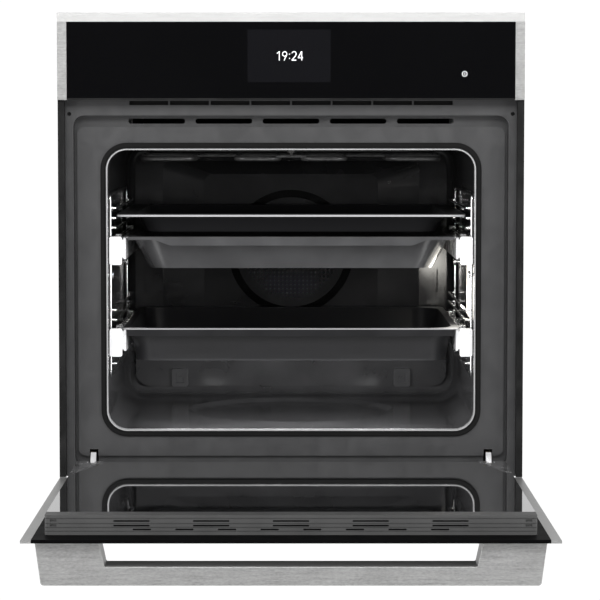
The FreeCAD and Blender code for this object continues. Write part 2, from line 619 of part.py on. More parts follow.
# ---------------------------------------------------------------- door
def make_hinges():
    x0 = HINGE_X - 3.5
    x1 = HINGE_X + 3.5
    lug = 3.6
    slant = lug * math.sqrt(0.5)
    arm = prism([(HINGE_Y - slant, HINGE_Z + slant), (-4, 24), (-1, 28), (10, 28), (75, 26), (75, SHEET),
                 (45, SHEET), (30, 12), (8, 12), (HINGE_Y + slant, HINGE_Z - slant)], "x", x0, x1)
    eye = cyl("x", lug, x0, x1, HINGE_Y, HINGE_Z)
    pin = cyl("x", 2.0, HINGE_X - 8, HINGE_X + 6.6, HINGE_Y, HINGE_Z)
    NODES["hinge_arms"] = pair(fuse([arm, eye, pin]))
    plates = []
    for px in (HINGE_X - 8, HINGE_X + 4.4):
        plates.append(box(px, px + 2.2, -17.5, -6, HINGE_Z, 165))
        plates.append(cyl("x", lug, px, px + 2.2, HINGE_Y, HINGE_Z))
    web = box(HINGE_X - 8, HINGE_X + 6.6, -8, -6, 40, 165)
    channel = fuse(plates + [web])
    heel = box(HINGE_X - 9, HINGE_X + 8, -12, -5, HINGE_Z - 1, HINGE_Z + 3)
    bore = cyl("x", 2.05, HINGE_X - 9, HINGE_X + 8, HINGE_Y, HINGE_Z)
    channel = channel.cut(heel).cut(bore)
    NODES["hinge_channels"] = opened(pair(channel))
    cover = prism([(240, BOX_Z0), (BOX_HALF, BOX_Z0), (BOX_HALF, 112), (268, 112)], "y", BOX_Y1, BOX_Y1 + 1)
    cover = cover.cut(box(HINGE_X - 4.5, HINGE_X + 4.5, BOX_Y1 - 1, BOX_Y1 + 2, BOX_Z0 - 1, 34))
    NODES["hinge_covers"] = opened(pair(cover))


def make_door_front():
    inner = FRONT_HALF - BORDER
    low = FRONT_Z0 + BORDER
    frame = prism([(-FRONT_HALF, FRONT_Z0), (FRONT_HALF, FRONT_Z0), (FRONT_HALF, DOOR_Z1), (inner, DOOR_Z1),
                   (inner, low), (-inner, low), (-inner, DOOR_Z1), (-FRONT_HALF, DOOR_Z1)],
                  "y", FRONT_Y, FRONT_Y + 3)
    NODES["door_steel_frame"] = opened(frame)
    pane = box(-inner + 0.2, inner - 0.2, FRONT_Y, FRONT_Y + GLASS, low + 0.2, DOOR_Z1)
    NODES["door_glass_outer"] = opened(pane)


def make_door_box():
    back = FRONT_Y + GLASS
    glass_y = BOX_Y1 - GLASS
    sides = [box(262.5, BOX_HALF, back, glass_y, BOX_Z0, CAP_Z0),
             box(-BOX_HALF, -262.5, back, glass_y, BOX_Z0, CAP_Z0)]
    foot = box(-244, 244, back, glass_y, BOX_Z0, 34)
    corner = box(236, 263, -5.5, glass_y, 36, 60).fuse(box(236, 244, -5.5, glass_y, 30, 60))
    NODES["door_box"] = opened(fuse(sides + [foot, corner, mirrored(corner)]))
    pane = mouth(BOX_HALF, BOX_Z0, CAP_Z0, 3.0, glass_y)
    pane = slab(pane, [], Vector(0, GLASS, 0))
    for side in (-1, 1):
        pane = pane.cut(box(side * HINGE_X - 4.5, side * HINGE_X + 4.5, -1, 6, BOX_Z0 - 1, 34))
    NODES["door_glass_inner"] = opened(pane)
    NODES["door_glass_middle"] = opened(box(-243, 243, -9, -6, 34, CAP_Z0))


def make_door_cap():
    back = FRONT_Y + GLASS
    cap = box(-BOX_HALF, BOX_HALF, back, BOX_Y1, CAP_Z0, BOX_Z1)
    upright = [e for e in cap.Edges if abs(e.BoundBox.YLength - (BOX_Y1 - back)) < 0.01
               and e.BoundBox.ZMin > BOX_Z1 - 1]
    cap = cap.makeFillet(2.5, upright)
    cap = cap.cut(box(-BOX_HALF + 2.5, BOX_HALF - 2.5, back + 2.5, BOX_Y1 - 2.5, CAP_Z0 - 1, BOX_Z1 - 2.5))
    grooves = [box(-BOX_HALF - 1, BOX_HALF + 1, y - 0.6, y + 0.6, BOX_Z1 - 1, BOX_Z1 + 1)
               for y in (0.4, -5.3, -9.7, -14.0)]
    for x in row(5, 88.5):
        grooves += [box(x - 20, x + 20, y - 0.9, y + 0.9, BOX_Z1 - 4, BOX_Z1 + 1) for y in (-2.4, -7.6)]
    for x in row(8, 47.3):
        grooves.append(box(x - 10, x + 10, -12.8, -11.0, BOX_Z1 - 4, BOX_Z1 + 1))
    for side in (-1, 1):
        grooves.append(box(side * 264 - 3.6, side * 264 + 3.6, -3.4, -0.6, BOX_Z1 - 2, BOX_Z1 + 1))
        grooves.append(box(side * 264 - 3.6, side * 264 + 3.6, -8.6, -6.2, BOX_Z1 - 2, BOX_Z1 + 1))
    NODES["door_top_vent"] = opened(cap.cut(Part.makeCompound(grooves)))


def make_handle():
    tip = FRONT_Y - HANDLE_REACH
    bar = FRONT_Y - 28.6
    wall = 2.1
    points = [(-283.4, FRONT_Y), (-276.6, tip), (276.6, tip), (283.4, FRONT_Y),
              (212.5, FRONT_Y), (206.3, bar), (-206.3, bar), (-212.5, FRONT_Y)]
    radii = [0, 4, 4, 0, 0, 2, 2, 0]
    vectors = [Vector(x, y, HANDLE_Z0) for x, y in points]
    body = Part.Face(outline(vectors, radii)).extrude(Vector(0, 0, HANDLE_Z1 - HANDLE_Z0))
    long_edges = [e for e in body.Edges if e.BoundBox.ZLength < 0.01 and e.BoundBox.YMax < FRONT_Y - 1]
    body = body.makeFillet(0.8, long_edges)
    tunnel = [(-283.4 + wall, FRONT_Y + 1), (-276.6 + wall, tip + wall), (276.6 - wall, tip + wall),
              (283.4 - wall, FRONT_Y + 1), (212.5 + wall, FRONT_Y + 1), (206.3 + wall, bar - wall),
              (-206.3 - wall, bar - wall), (-212.5 - wall, FRONT_Y + 1)]
    body = body.cut(prism(tunnel, "z", HANDLE_Z0 + wall, HANDLE_Z1 - wall))
    NODES["door_handle"] = opened(body)


# ---------------------------------------------------------------- build and export
def build():
    make_casing()
    make_front_frame()
    make_fascia()
    make_cavity()
    make_insulation()
    make_bottom_heater()
    make_fan_cover()
    make_fan_grille()
    make_cover_clips()
    make_convection_fan()
    make_grill()
    make_lamp()
    make_supports()
    make_runner("upper", UPPER_RIM_Z, 304.0)
    make_runner("lower", LOWER_RIM_Z, 184.3)
    make_baking_tray()
    make_trays()
    make_cooling()
    make_mains()
    make_hinges()
    make_door_front()
    make_door_box()
    make_door_cap()
    make_handle()


def export():
    os.makedirs("parts", exist_ok=True)
    for name, shape in NODES.items():
        solids = shape.Solids
        whole = solids[0] if len(solids) == 1 else Part.makeCompound(solids)
        whole.exportStep("parts/" + name + ".step")
        print(name, len(solids), "solids", "valid" if whole.isValid() else "INVALID", round(whole.Volume))


build()
export()
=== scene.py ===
import math

import bpy
import numpy as np
from bpy.props import FloatProperty, FloatVectorProperty, IntProperty, PointerProperty
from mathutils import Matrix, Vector


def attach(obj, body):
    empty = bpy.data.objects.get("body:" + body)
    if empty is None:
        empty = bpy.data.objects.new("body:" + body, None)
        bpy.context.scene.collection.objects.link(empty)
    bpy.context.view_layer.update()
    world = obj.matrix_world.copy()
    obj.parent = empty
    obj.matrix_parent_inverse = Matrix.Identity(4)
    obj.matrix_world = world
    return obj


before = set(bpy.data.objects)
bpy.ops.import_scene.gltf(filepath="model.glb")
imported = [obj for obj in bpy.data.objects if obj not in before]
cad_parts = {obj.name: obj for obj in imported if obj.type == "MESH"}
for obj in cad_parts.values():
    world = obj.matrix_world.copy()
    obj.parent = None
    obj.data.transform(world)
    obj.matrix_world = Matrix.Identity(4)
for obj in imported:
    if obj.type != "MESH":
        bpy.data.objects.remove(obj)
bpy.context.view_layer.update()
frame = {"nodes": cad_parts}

bl_info = {
    "name": "Wall Oven Finishes",
    "version": (1, 0, 0),
    "blender": (4, 5, 0),
    "location": "3D View > Sidebar > Wall Oven",
    "description": "Finishes, clock, fastenings and studio for a built-in wall oven",
    "category": "Object",
}

MM = 0.001
GLASS_FRONT = -0.0218       # front face of the control panel glass
CASE_HALF = 0.2742          # outer faces of the casing: half width, back and top
CASE_BACK = 0.548
CASE_TOP = 0.575
BORDER_HIGHLIGHT = 0.5815         # lower edge of the top strip of the panel's steel border; the steel above it is painted lighter, a painted highlight
CLOCK = (-0.0188, 0.5322)   # lower left corner of the clock's figures, X and Z
POWER_MARK = (0.2208, 0.5152)
FIXING_HOLES = (0.2841, 0.4644)         # half their distance, and their height
UPPER_SLOTS = (0.215, 0.4781, 0.0072)   # half width of the row, its height and the width of the black strip behind it, painted shade for the slots
BAKING_HIGHLIGHT = (0.330, 0.3338)           # heights between which the baking tray's rim is painted bright, a painted highlight
# heights between which the deep tray's rim is painted bright, a painted highlight
DEEP_HIGHLIGHT = (0.186, 0.188)
HIGHLIGHT_DEPTH = 0.03           # the painted highlights on the trays' rims end this far behind the front plane
FAN_SHADE_DEPTH = 0.395            # the channel round the fan grille lies behind this depth; the grille there is painted near-black, a painted shade
CAMERA_LENS = 150.3
CAMERA_SHIFT = (0.015, -0.05)


# ---------------------------------------------------------------- settings
def size(name, description, default, low=0.0):
    return FloatProperty(name=name, description=description, default=default, min=low,
                         unit="LENGTH", subtype="DISTANCE", precision=5)


def share(name, description, default, high=1.0):
    return FloatProperty(name=name, description=description, default=default, min=0.0, max=high)


def colour(name, description, default):
    return FloatVectorProperty(name=name, description=description, default=default, size=3,
                               min=0.0, max=1.0, subtype="COLOR")


class OvenColours(bpy.types.PropertyGroup):
    steel: colour("Steel", "Brushed steel of the border and the handle", (0.36, 0.36, 0.357))
    frame: colour("Front frame", "Satin enamel round the oven mouth", (0.032, 0.032, 0.033))
    enamel: colour("Cavity", "Glossy enamel of the cavity and its rear cover", (0.028, 0.028, 0.029))
    tray: colour("Tray", "Glossy enamel of the tray in the middle", (0.056, 0.056, 0.058))
    dark_tray: colour("Dark trays", "Enamel of the deep tray and the baking tray", (0.014, 0.014, 0.015))
    # painted highlight: colour of the bright line painted along the front rims of the dark trays
    edge: colour("Tray edges", "Bright front edge of the dark trays", (0.34, 0.34, 0.35))
    glass: colour("Glass", "Printed glass of the panel and the door", (0.0022, 0.0022, 0.0025))
    display: colour("Display", "Unlit face of the display", (0.0055, 0.0055, 0.0065))
    inner_glass: colour("Inner glass", "Reflective inner pane of the door", (0.01, 0.01, 0.0105))
    plating: colour("Plating", "Bright plating of wires, runners and hinges", (0.93, 0.93, 0.94))
    zinc: colour("Zinc", "Zinc coated sheet of the casing", (0.44, 0.45, 0.46))
    plastic: colour("Plastic", "Black moulded parts", (0.006, 0.006, 0.006))
    digits: colour("Digits", "Light of the clock", (0.95, 0.97, 1.0))
    floor: colour("Floor", "Studio floor", (0.88, 0.88, 0.88))


class OvenSizes(bpy.types.PropertyGroup):
    digit_height: size("Digit height", "Height of the clock's figures", 0.0116, 0.001)
    digit_stroke: size("Digit stroke", "Width of a stroke of the clock's figures", 0.0007, 0.0002)
    mark_radius: size("Power mark", "Radius of the ring of the power mark", 0.0031, 0.001)
    screw_radius: size("Screw head", "Radius of the casing's screw heads", 0.0038, 0.001)
    screw_height: size("Screw height", "Height of the casing's screw heads", 0.0021, 0.0005)
    screw_sides: IntProperty(name="Screw sides", description="Facets round a screw head",
                             default=20, min=8, max=64)


class OvenStudio(bpy.types.PropertyGroup):
    floor_drop: size("Floor drop", "How far the studio floor lies under the niche floor", 1.0)
    floor_radius: size("Floor radius", "Radius of the studio floor", 3.5)
    camera_distance: size("Camera distance", "From the camera to the cabinet's front plane", 3.2161)
    camera_height: size("Camera height", "Camera height over the niche floor", 0.4647)
    camera_pitch: FloatProperty(name="Camera pitch", description="How far the camera looks down",
                                default=math.radians(3.571), subtype="ANGLE")
    ambient: share("Ambient", "Strength of the light from all round", 0.75, 5.0)
    front_light: share("Front", "Strength of that light straight in front of the oven", 0.012, 5.0)
    key: FloatProperty(name="Key light", description="Power of the large light above the camera",
                       default=90.0, min=0.0, unit="POWER")
    side: FloatProperty(name="Side lights", description="Power of each light at the sides",
                        default=45.0, min=0.0, unit="POWER")
    fill: FloatProperty(name="Front fill", description="Power of the soft light beside the camera",
                        default=22.0, min=0.0, unit="POWER")
    low_fill: FloatProperty(name="Low fill", description="Power of the light on the cavity's floor",
                            default=2.2, min=0.0, unit="POWER")
    lamp: FloatProperty(name="Oven lamp", description="Power of the lamp in the cavity",
                        default=0.18, min=0.0, unit="POWER")


# ---------------------------------------------------------------- node building
class Graph:
    """Adds and links the nodes of one material or of one shared effect."""

    def __init__(self, tree):
        self.tree = tree

    def add(self, kind, **settings):
        made = self.tree.nodes.new("ShaderNode" + kind)
        for key, value in settings.items():
            setattr(made, key, value)
        return made

    def feed(self, socket, value):
        """Links the socket to another one, or sets it to a constant."""
        if isinstance(value, bpy.types.NodeSocket):
            self.tree.links.new(value, socket)
        else:
            socket.default_value = value

    def math(self, operation, first, second=0.0):
        made = self.add("Math", operation=operation)
        self.feed(made.inputs[0], first)
        self.feed(made.inputs[1], second)
        return made.outputs[0]

    def scaled(self, vector, scale, stretch=(1.0, 1.0, 1.0)):
        """The vector times a stretch per axis and an overall scale."""
        wide = self.add("VectorMath", operation="MULTIPLY")
        self.feed(wide.inputs[0], vector)
        self.feed(wide.inputs[1], stretch)
        made = self.add("VectorMath", operation="SCALE")
        self.feed(made.inputs[0], wide.outputs[0])
        self.feed(made.inputs["Scale"], scale)
        return made.outputs[0]

    def noise(self, vector, detail=2.0, roughness=0.5, distortion=0.0):
        made = self.add("TexNoise")
        self.feed(made.inputs["Vector"], vector)
        made.inputs["Scale"].default_value = 1.0
        made.inputs["Detail"].default_value = detail
        made.inputs["Roughness"].default_value = roughness
        made.inputs["Distortion"].default_value = distortion
        return made.outputs[0]

    def cells(self, vector, output="Distance"):
        made = self.add("TexVoronoi")
        self.feed(made.inputs["Vector"], vector)
        made.inputs["Scale"].default_value = 1.0
        return made.outputs[output]

    def remap(self, value, low, high, to_low=0.0, to_high=1.0):
        made = self.add("MapRange")
        self.feed(made.inputs["Value"], value)
        made.inputs["From Min"].default_value = low
        made.inputs["From Max"].default_value = high
        made.inputs["To Min"].default_value = to_low
        made.inputs["To Max"].default_value = to_high
        return made.outputs[0]

    def mix(self, factor, first, second):
        made = self.add("Mix", data_type="RGBA")
        self.feed(made.inputs[0], factor)
        self.feed(made.inputs[6], first)
        self.feed(made.inputs[7], second)
        return made.outputs[2]

    def blend(self, factor, first, second):
        """First value turned into the second as the factor goes from 0 to 1."""
        made = self.add("Mix", data_type="FLOAT")
        self.feed(made.inputs[0], factor)
        self.feed(made.inputs[2], first)
        self.feed(made.inputs[3], second)
        return made.outputs[0]


def brushed(g, vector, scale):
    """Fine mottled grain with short horizontal scratches and slow tone changes."""
    grit = g.noise(g.scaled(vector, scale, (0.6, 1.0, 1.6)), 3.0, 0.65)
    lines = g.noise(g.scaled(vector, scale, (0.08, 1.6, 2.2)), 2.0, 0.6)
    cloud = g.noise(g.scaled(vector, scale, (0.045, 0.045, 0.06)), 2.0)
    grain = g.blend(0.38, grit, lines)
    return (g.remap(g.blend(0.12, grain, cloud), 0.3, 0.7), g.remap(grain, 0.3, 0.7), grain)


def enamel(g, vector, scale):
    """Fired enamel: a soft orange peel, pinhead specks and slow changes of depth."""
    peel = g.noise(g.scaled(vector, scale), 2.0, 0.45)
    speck = g.remap(g.cells(g.scaled(vector, scale, (2.1, 2.1, 2.1))), 0.05, 0.16, 1.0, 0.0)
    depth = g.noise(g.scaled(vector, scale, (0.04, 0.04, 0.04)), 3.0)
    shade = g.math("ADD", g.remap(depth, 0.3, 0.7, 0.1, 0.7), g.math("MULTIPLY", speck, 0.3))
    rough = g.math("ADD", g.remap(depth, 0.3, 0.75, 0.0, 0.7), g.math("MULTIPLY", speck, 0.3))
    return (shade, rough, peel)


def satin(g, vector, scale):
    """Satin coat: very fine tooth with faint handling marks."""
    tooth = g.noise(g.scaled(vector, scale), 2.0, 0.6)
    marks = g.noise(g.scaled(vector, scale, (0.03, 0.05, 0.02)), 4.0, 0.6, 0.8)
    return (g.blend(0.6, tooth, g.remap(marks, 0.3, 0.7)), g.remap(marks, 0.35, 0.7), tooth)


def plated(g, vector, scale):
    """Bright plating: draw lines along the metal and dull spots."""
    draw = g.noise(g.scaled(vector, scale, (1.0, 0.06, 1.0)), 2.0, 0.5)
    spots = g.noise(g.scaled(vector, scale, (0.12, 0.12, 0.12)), 3.0, 0.6)
    return (g.blend(0.5, draw, g.remap(spots, 0.3, 0.7)), g.remap(spots, 0.35, 0.75), draw)


def wiped(g, vector, scale):
    """Glass wiped clean: curved wipe marks, faint haze and dust points."""
    swirl = g.noise(g.scaled(vector, scale, (0.5, 1.0, 1.4)), 4.0, 0.6, 2.5)
    haze = g.noise(g.scaled(vector, scale, (0.12, 0.12, 0.12)), 2.0)
    dust = g.remap(g.cells(g.scaled(vector, scale, (14.0, 14.0, 14.0))), 0.02, 0.07, 1.0, 0.0)
    shade = g.math("ADD", g.remap(haze, 0.3, 0.7, 0.0, 0.7), g.math("MULTIPLY", dust, 0.3))
    return (shade, g.blend(0.5, g.remap(swirl, 0.4, 0.7), haze), haze)


def spangled(g, vector, scale):
    """Zinc coat: crystal spangles of different tone with fine rolling grain."""
    tone = g.cells(g.scaled(vector, scale), "Color")
    split = g.add("SeparateColor")
    g.feed(split.inputs[0], tone)
    grain = g.noise(g.scaled(vector, scale, (12.0, 1.0, 12.0)), 2.0)
    return (g.blend(0.35, split.outputs[0], grain), split.outputs[1], grain)


def moulded(g, vector, scale):
    """Moulded or vulcanised surface: fine spark texture and soft flow clouds."""
    spark = g.noise(g.scaled(vector, scale), 3.0, 0.7)
    flow = g.noise(g.scaled(vector, scale, (0.02, 0.02, 0.02)), 3.0, 0.5, 0.6)
    return (g.blend(0.5, spark, g.remap(flow, 0.3, 0.7)), g.remap(flow, 0.3, 0.7), spark)


def oxidised(g, vector, scale):
    """Heated sheath: scale patches and a powdery tooth."""
    patch = g.noise(g.scaled(vector, scale, (0.12, 0.12, 0.12)), 4.0, 0.65)
    tooth = g.noise(g.scaled(vector, scale), 2.0, 0.6)
    return (g.remap(patch, 0.35, 0.65), g.remap(patch, 0.3, 0.7), g.blend(0.4, patch, tooth))


def fibrous(g, vector, scale):
    """Mineral wool: crossed fibres in layers."""
    one = g.noise(g.scaled(vector, scale, (0.15, 1.0, 2.0)), 4.0, 0.7, 1.0)
    two = g.noise(g.scaled(vector, scale, (1.2, 0.2, 1.0)), 4.0, 0.7, 1.0)
    felt = g.math("MAXIMUM", one, two)
    return (g.remap(felt, 0.4, 0.75), one, felt)


def populated(g, vector, scale):
    """Circuit board: square part outlines over tracks."""
    made = g.add("TexVoronoi", distance="CHEBYCHEV")
    g.feed(made.inputs["Vector"], g.scaled(vector, scale))
    made.inputs["Scale"].default_value = 1.0
    parts = g.remap(made.outputs["Distance"], 0.28, 0.34, 1.0, 0.0)
    tracks = g.math("PINGPONG", g.noise(g.scaled(vector, scale, (0.7, 0.7, 3.0)), 1.0), 0.04)
    return (g.blend(0.6, g.remap(tracks, 0.0, 0.04), parts), parts, parts)


def effect_group(effect):
    """The shared node group of an effect, made on first use: Vector and Scale in, three masks out."""
    name = "effect_" + effect.__name__
    if name in bpy.data.node_groups:
        return bpy.data.node_groups[name]
    group = bpy.data.node_groups.new(name, "ShaderNodeTree")
    group.interface.new_socket("Vector", in_out="INPUT", socket_type="NodeSocketVector")
    group.interface.new_socket("Scale", in_out="INPUT", socket_type="NodeSocketFloat")
    for label in ("Shade", "Dullness", "Height"):
        group.interface.new_socket(label, in_out="OUTPUT", socket_type="NodeSocketFloat")
    entry = group.nodes.new("NodeGroupInput")
    leave = group.nodes.new("NodeGroupOutput")
    graph = Graph(group)
    for socket, value in zip(leave.inputs, effect(graph, entry.outputs[0], entry.outputs[1])):
        graph.feed(socket, value)
    return group


def finish(name, effect, scale, base, spread, rough, bump, metallic=0.0, coat=0.0, zones=(), **plain):
    """A finish: the base colour varied by spread, roughness between two values, and bump from the effect.

    zones are (axis, low, high, colour) bands of the object where the colour changes over 1 mm."""
    material = bpy.data.materials.new(name)
    material.use_nodes = True
    tree = material.node_tree
    shader = next(n for n in tree.nodes if n.type == "BSDF_PRINCIPLED")
    graph = Graph(tree)
    place = graph.add("TexCoord").outputs["Object"]
    group = graph.add("Group", node_tree=effect_group(effect))
    graph.feed(group.inputs["Vector"], place)
    graph.feed(group.inputs["Scale"], scale)
    dark = [c * (1.0 - spread) for c in base] + [1.0]
    light = [min(1.0, c * (1.0 + spread)) for c in base] + [1.0]
    tint = graph.mix(group.outputs["Shade"], dark, light)
    if zones:
        axes = graph.add("SeparateXYZ")
        graph.feed(axes.inputs[0], place)
        for axis, low, high, tone in zones:
            value = axes.outputs["XYZ".index(axis)]
            over = graph.remap(value, low - MM / 2, low + MM / 2)
            under = graph.remap(value, high - MM / 2, high + MM / 2, 1.0, 0.0)
            inside = graph.math("MULTIPLY", over, under)
            tint = graph.mix(inside, tint, list(tone) + [1.0])
    graph.feed(shader.inputs["Base Color"], tint)
    graph.feed(shader.inputs["Roughness"], graph.remap(group.outputs["Dullness"], 0.0, 1.0, *rough))
    shader.inputs["Metallic"].default_value = metallic
    shader.inputs["Coat Weight"].default_value = coat
    for label, value in plain.items():
        shader.inputs[label.replace("_", " ")].default_value = value
    relief = graph.add("Bump")
    relief.inputs["Strength"].default_value = bump[0]
    relief.inputs["Distance"].default_value = bump[1]
    graph.feed(relief.inputs["Height"], group.outputs["Height"])
    graph.feed(shader.inputs["Normal"], relief.outputs[0])
    return material


def dress(material, *names):
    """Puts a finish on CAD nodes of the frame."""
    for name in names:
        piece = frame["nodes"][name]
        if not piece.material_slots:
            piece.data.materials.append(material)
        for slot in piece.material_slots:
            slot.material = material


def settings(context):
    scene = context.scene
    return scene.oven_colours, scene.oven_sizes, scene.oven_studio


# ---------------------------------------------------------------- surfaces
def mesh_piece(name, points, faces, material, slot, body="oven", smooth=False):
    """A new piece from an array of points and a list of faces, riding on a body."""
    mesh = bpy.data.meshes.new(name)
    mesh.from_pydata(points.tolist(), [], faces)
    mesh.polygons.foreach_set("use_smooth", np.full(len(mesh.polygons), smooth))
    mesh.materials.append(material)
    mesh.update()
    piece = bpy.data.objects.new(name, mesh)
    bpy.context.scene.collection.objects.link(piece)
    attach(piece, body)
    return piece


def ribbon(path, stroke, depth, closed=False):
    """Flat bar along a path in the XZ plane: each path point is moved half the stroke to both sides
    along its normal, in front and behind, and the four lines of points are joined by quads."""
    path = np.asarray(path, float)
    if closed:
        way = np.roll(path, -1, axis=0) - np.roll(path, 1, axis=0)
    else:
        way = np.gradient(path, axis=0)
    way /= np.linalg.norm(way, axis=1)[:, None]
    side = np.stack([-way[:, 1], way[:, 0]], axis=1) * stroke / 2
    count = len(path)
    points = np.zeros((count, 4, 3))
    for k, (sign, y) in enumerate(((1, -depth), (-1, -depth), (-1, 0.0), (1, 0.0))):
        flat = path + sign * side
        points[:, k, 0] = flat[:, 0]
        points[:, k, 1] = y
        points[:, k, 2] = flat[:, 1]
    rings = count if closed else count - 1
    start = np.arange(rings)[:, None] * 4
    after = (np.arange(rings)[:, None] + 1) % count * 4
    k = np.arange(4)[None, :]
    turn = (k + 1) % 4
    faces = np.stack([start + k, start + turn, after + turn, after + k], axis=2).reshape(-1, 4).tolist()
    if not closed:
        faces.append([3, 2, 1, 0])
        last = 4 * (count - 1)
        faces.append([last, last + 1, last + 2, last + 3])
    return points.reshape(-1, 3), faces


def joined(shapes):
    """Several (points, faces) shapes as one."""
    points = []
    faces = []
    offset = 0
    for some_points, some_faces in shapes:
        points.append(some_points)
        faces += [[i + offset for i in face] for face in some_faces]
        offset += len(some_points)
    return np.concatenate(points), faces


def arc(cx, cz, rx, rz, start, end, count=22):
    """Points of an ellipse arc: centre plus the radii times cosine and sine of an even run of angles."""
    angle = np.radians(np.linspace(start, end, count))
    return np.stack([cx + rx * np.cos(angle), cz + rz * np.sin(angle)], axis=1)


def densely(corners, count=6):
    """Straight runs between corners, each divided evenly."""
    corners = np.asarray(corners, float)
    steps = np.linspace(0.0, 1.0, count, endpoint=False)[None, :, None]
    runs = corners[:-1, None, :] * (1 - steps) + corners[1:, None, :] * steps
    return np.concatenate([runs.reshape(-1, 2), corners[-1:]])


def digit_paths():
    """Strokes of the figures in a box 0.56 wide and 1 high: arcs and straight runs."""
    nine = np.concatenate([arc(0.27, 0.71, 0.24, 0.25, -10, 350, 30), densely([[0.5, 0.64], [0.2, 0.0]])])
    two = np.concatenate([arc(0.27, 0.72, 0.235, 0.25, 165, -35, 22), densely([[0.4, 0.47], [0.04, 0.04]])])
    return {
        "1": [densely([[0.08, 0.76], [0.34, 0.96]]), densely([[0.34, 1.0], [0.34, 0.0]])],
        "9": [nine],
        "2": [two, densely([[0.0, 0.04], [0.52, 0.04]])],
        "4": [densely([[0.42, 1.0], [0.42, 0.0]]), densely([[0.39, 0.97], [0.02, 0.3]]),
              densely([[0.0, 0.29], [0.56, 0.29]])],
        ":": [densely([[0.1, 0.64], [0.1, 0.74]], 2), densely([[0.1, 0.18], [0.1, 0.28]], 2)],
    }


def revolved(profile, sides):
    """Surface of revolution about Z: each profile point (radius, height) goes round a circle, and rings
    are joined by quads. The profile starts and ends on the axis, where one point closes the surface."""
    profile = np.asarray(profile, float)
    angle = np.arange(sides) * 2 * math.pi / sides
    body = profile[1:-1]
    rings = np.stack([body[:, None, 0] * np.cos(angle)[None, :], body[:, None, 0] * np.sin(angle)[None, :],
                      np.repeat(body[:, 1:2], sides, axis=1)], axis=2)
    count = len(body)
    points = np.concatenate([rings.reshape(-1, 3), [[0, 0, profile[0, 1]], [0, 0, profile[-1, 1]]]])
    i = np.arange(count - 1)[:, None] * sides
    j = np.arange(sides)[None, :]
    n = (j + 1) % sides
    quads = np.stack([i + j, i + n, i + sides + n, i + sides + j], axis=2).reshape(-1, 4).tolist()
    low = count * sides
    top = (count - 1) * sides
    caps = [[low, (a + 1) % sides, a] for a in range(sides)]
    caps += [[low + 1, top + a, top + (a + 1) % sides] for a in range(sides)]
    return points, quads + caps


def placed(shape, where, axis):
    """A shape about Z moved to a place with its Z axis turned along the given one."""
    points, faces = shape
    turn = np.array(Vector(axis).to_track_quat("Z", "Y").to_matrix())
    return points @ turn.T + np.asarray(where, float), faces


# ---------------------------------------------------------------- operators
class OvenPiece:
    """Common parts of the operators that finish the oven."""
    bl_options = {"REGISTER", "UNDO"}

    def execute(self, context):
        self.make(*settings(context))
        return {"FINISHED"}


class OVEN_OT_steel(OvenPiece, bpy.types.Operator):
    """Brushed steel on the border, the door frame and the handle"""
    bl_idname = "oven.steel"
    bl_label = "Steel"

    def make(self, colours, sizes, studio):
        # painted highlight: the steel of the border's top strip, above its lower edge, is painted half
        # again as light as the rest
        steel = finish("brushed_steel", brushed, 380.0, colours.steel, 0.24, (0.34, 0.5),
                       (0.25, 0.0003), metallic=0.85,
                       zones=(("Z", BORDER_HIGHLIGHT, 1.0, [c * 1.5 for c in colours.steel]),))
        dress(steel, "panel_bezel", "door_steel_frame", "door_handle")
        inner = finish("door_box_steel", brushed, 700.0, [c * 0.75 for c in colours.steel], 0.12,
                       (0.22, 0.36), (0.12, 0.0002), metallic=0.95)
        dress(inner, "door_box")


class OVEN_OT_glass(OvenPiece, bpy.types.Operator):
    """Glass of the control panel, the display, the door and the lamp"""
    bl_idname = "oven.glass"
    bl_label = "Glass"

    def make(self, colours, sizes, studio):
        pane = finish("printed_glass", wiped, 14.0, colours.glass, 0.25, (0.02, 0.07), (0.02, 0.0004),
                      coat=0.2, IOR=1.5)
        dress(pane, "panel_glass", "door_glass_middle")
        edge = finish("black_door_glass", wiped, 14.0, [c * 0.4 for c in colours.glass], 0.25, (0.5, 0.65),
                      (0.02, 0.0004), IOR=1.45, Specular_IOR_Level=0.04)
        dress(edge, "door_glass_outer")
        display = finish("display_glass", wiped, 12.0, colours.display, 0.3, (0.03, 0.09), (0.02, 0.0004),
                         coat=0.2, IOR=1.5)
        dress(display, "display_window")
        mirror = finish("inner_door_glass", wiped, 9.0, colours.inner_glass, 0.12, (0.015, 0.05),
                        (0.01, 0.0003), coat=1.0, IOR=2.2, Coat_Roughness=0.02)
        dress(mirror, "door_glass_inner")
        lens = finish("lamp_glass", plated, 260.0, (0.95, 0.93, 0.88), 0.03, (0.08, 0.2), (0.6, 0.0012),
                      IOR=1.45, Emission_Color=(1.0, 0.96, 0.88, 1.0), Emission_Strength=1.3)
        dress(lens, "lamp_lens", "lamp_bulb")


